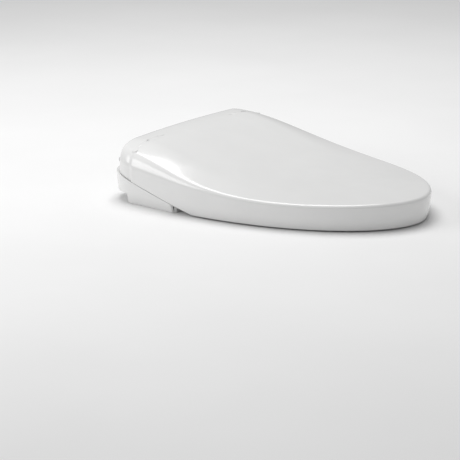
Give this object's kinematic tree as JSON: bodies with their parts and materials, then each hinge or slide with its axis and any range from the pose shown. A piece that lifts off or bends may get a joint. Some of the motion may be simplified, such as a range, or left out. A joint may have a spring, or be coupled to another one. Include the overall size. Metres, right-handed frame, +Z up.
{
  "type": "electric bidet seat",
  "caption": "Electric bidet toilet seat: domed gloss white lid over a heated seat ring, rear unit with retracting wash wand, dryer flap, side buttons and quick release plate.",
  "frame": {"origin": "midpoint between the two slotted fixing holes of the mounting plate, at the height of the toilet rim the seat rests on", "axes": "+Z up, -Y towards the front of the bowl, +X towards the side with the buttons and the water inlet (the right side seen from behind looking forward is -X)"},
  "size_m": [0.3878, 0.5131, 0.1021],
  "materials": {
    "white_gloss": "high gloss",
    "white_case": "fine satin",
    "grey_plastic": "satin",
    "dark_window": "gloss, infrared tinted",
    "white_rubber": "matt",
    "black_rubber": "matt",
    "stainless": "brushed",
    "bright_steel": "polished",
    "circuit_board": "satin lacquer",
    "foil": "satin foil",
    "charcoal": "porous matt",
    "button_grey": "satin",
    "nozzle_plastic": "gloss",
    "brass": "turned"
  },
  "bodies": {
    "mounting_plate": {"mounting_plate": "grey_plastic"},
    "main_unit": {"bottom_case": "white_case", "top_case": "white_case", "left_side_cover": "white_gloss", "right_side_cover": "white_gloss", "front_panel": "white_gloss", "case_gasket": "black_rubber", "case_screws": "stainless", "release_spring": "stainless", "seat_damper": "grey_plastic", "lid_damper": "grey_plastic", "wand_motor": "stainless", "wand_guide": "grey_plastic", "blower_housing": "grey_plastic", "blower_motor": "stainless", "dryer_duct": "grey_plastic", "dryer_heater": "stainless", "heater_tank": "grey_plastic", "tank_element": "stainless", "tank_thermostat": "stainless", "valve_block": "grey_plastic", "valve_solenoid": "foil", "inlet_nipple": "brass", "inlet_filter": "grey_plastic", "drain_plug": "grey_plastic", "deodoriser_fan_frame": "grey_plastic", "power_board": "circuit_board", "transformer": "foil", "board_posts": "grey_plastic", "control_board": "circuit_board", "button_board": "circuit_board", "button_domes": "white_rubber", "ir_window": "dark_window", "cable_gland": "black_rubber"},
    "seat": {"seat_top_shell": "white_gloss", "seat_bottom_plate": "white_gloss", "seat_heater_film": "foil", "seat_occupancy_sensor": "circuit_board", "seat_bumpers": "white_rubber", "seat_shaft": "stainless", "seat_bush": "grey_plastic"},
    "lid": {"lid_shell": "white_gloss", "lid_shaft": "stainless", "lid_bumpers": "white_rubber"},
    "wand": {"wand_tube": "bright_steel", "wand_tip": "nozzle_plastic", "wand_gate": "white_gloss", "wand_rack": "grey_plastic"},
    "pinion": {"wand_pinion": "grey_plastic", "wand_motor_shaft": "stainless"},
    "blower_wheel": {"blower_impeller": "grey_plastic", "blower_shaft": "stainless"},
    "dryer_door": {"dryer_flap": "white_gloss"},
    "deodoriser_wheel": {"deodoriser_fan_rotor": "grey_plastic"},
    "cassette": {"filter_cassette": "white_gloss", "carbon_filter": "charcoal"},
    "release": {"release_lever": "white_case"},
    "power_button": {"button_power": "button_grey"},
    "wash_button": {"button_wash": "button_grey"},
    "dry_button": {"button_dry": "button_grey"}
  },
  "joints": [
    {"name": "unit_slide", "type": "slide", "parent": "mounting_plate", "child": "main_unit", "axis": [0, -1, 0], "range_m": [0, 0.02]},
    {"name": "seat_hinge", "type": "hinge", "parent": "main_unit", "child": "seat", "pos_m": [0, 0.008, 0.07], "axis": [1, 0, 0], "range_deg": [-100, 0]},
    {"name": "lid_hinge", "type": "hinge", "parent": "seat", "child": "lid", "pos_m": [0, 0.008, 0.07], "axis": [-1, 0, 0], "range_deg": [0, 103]},
    {"name": "wand_slide", "type": "slide", "parent": "main_unit", "child": "wand", "axis": [0, -0.9063, -0.4226], "range_m": [0, 0.084]},
    {"name": "pinion_turn", "type": "hinge", "parent": "main_unit", "child": "pinion", "pos_m": [0, -0.07458, 0.02484], "axis": [1, 0, 0], "range_deg": [-5, 805]},
    {"name": "blower_spin", "type": "hinge", "parent": "main_unit", "child": "blower_wheel", "pos_m": [0.068, -0.03, 0.03], "axis": [0, 0, 1], "continuous": true},
    {"name": "dryer_flap_hinge", "type": "hinge", "parent": "main_unit", "child": "dryer_door", "pos_m": [0, -0.1075, 0.0256], "axis": [-1, 0, 0], "range_deg": [0, 70]},
    {"name": "deodoriser_spin", "type": "hinge", "parent": "main_unit", "child": "deodoriser_wheel", "pos_m": [0.124, -0.029, 0.0156], "axis": [1, 0, 0], "continuous": true},
    {"name": "cassette_slide", "type": "slide", "parent": "main_unit", "child": "cassette", "axis": [1, 0, 0], "range_m": [0, 0.045]},
    {"name": "release_slide", "type": "slide", "parent": "main_unit", "child": "release", "axis": [-1, 0, 0], "range_m": [0, 0.005], "stiffness_N_per_m": 300, "springref_m": -0.002, "deforming": ["release_spring"]},
    {"name": "power_press", "type": "slide", "parent": "main_unit", "child": "power_button", "axis": [-1, 0, 0], "range_m": [0, 0.0012], "stiffness_N_per_m": 400, "springref_m": -0.0005},
    {"name": "wash_press", "type": "slide", "parent": "main_unit", "child": "wash_button", "axis": [-1, 0, 0], "range_m": [0, 0.0012], "stiffness_N_per_m": 400, "springref_m": -0.0005},
    {"name": "dry_press", "type": "slide", "parent": "main_unit", "child": "dry_button", "axis": [-1, 0, 0], "range_m": [0, 0.0012], "stiffness_N_per_m": 400, "springref_m": -0.0005}
  ],
  "couplings": [
    {"joint": "pinion_turn", "follows": "wand_slide", "rad_per_m": 166.67}
  ]
}
